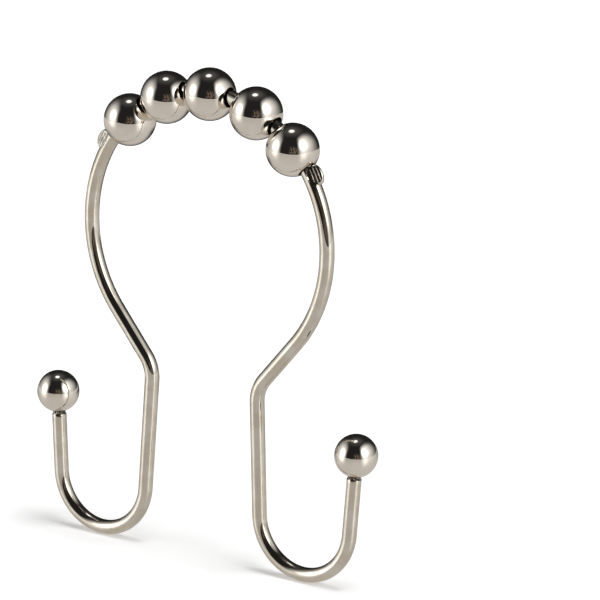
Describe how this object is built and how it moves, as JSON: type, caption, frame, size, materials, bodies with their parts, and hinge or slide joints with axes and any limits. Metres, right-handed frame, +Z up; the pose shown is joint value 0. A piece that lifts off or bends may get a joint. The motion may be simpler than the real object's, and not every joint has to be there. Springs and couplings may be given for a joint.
{
  "type": "shower curtain hook",
  "caption": "Double-sided roller shower curtain hook: a bent nickel-plated wire ring with balls that roll on the rod and a ball-ended J hook on each side.",
  "frame": {"origin": "centre of the ring that goes over the rod, in the middle of the wire", "axes": "+Z up towards the crown, +X towards the right arm, Y along the rod"},
  "size_m": [0.078, 0.01, 0.095],
  "materials": {
    "nickel": "polished nickel plate, slightly warm"
  },
  "bodies": {
    "frame": {"wire_frame": "nickel", "tip_ball_left": "nickel", "tip_ball_right": "nickel"},
    "roller_1": {"roller_ball_1": "nickel"},
    "roller_2": {"roller_ball_2": "nickel"},
    "roller_3": {"roller_ball_3": "nickel"},
    "roller_4": {"roller_ball_4": "nickel"},
    "roller_5": {"roller_ball_5": "nickel"}
  },
  "joints": [
    {"name": "roller_1_spin", "type": "hinge", "parent": "frame", "child": "roller_1", "pos_m": [-0.01844, 0, 0.01951], "axis": [0.7267, 0, 0.687], "continuous": true},
    {"name": "roller_2_spin", "type": "hinge", "parent": "frame", "child": "roller_2", "pos_m": [-0.00993, 0, 0.02494], "axis": [0.9291, 0, 0.3699], "continuous": true},
    {"name": "roller_3_spin", "type": "hinge", "parent": "frame", "child": "roller_3", "pos_m": [-0.00001, 0, 0.02685], "axis": [1, 0, 0.0005], "continuous": true},
    {"name": "roller_4_spin", "type": "hinge", "parent": "frame", "child": "roller_4", "pos_m": [0.01061, 0, 0.02466], "axis": [0.9185, 0, -0.3954], "continuous": true},
    {"name": "roller_5_spin", "type": "hinge", "parent": "frame", "child": "roller_5", "pos_m": [0.01897, 0, 0.01899], "axis": [0.7075, 0, -0.7068], "continuous": true}
  ]
}
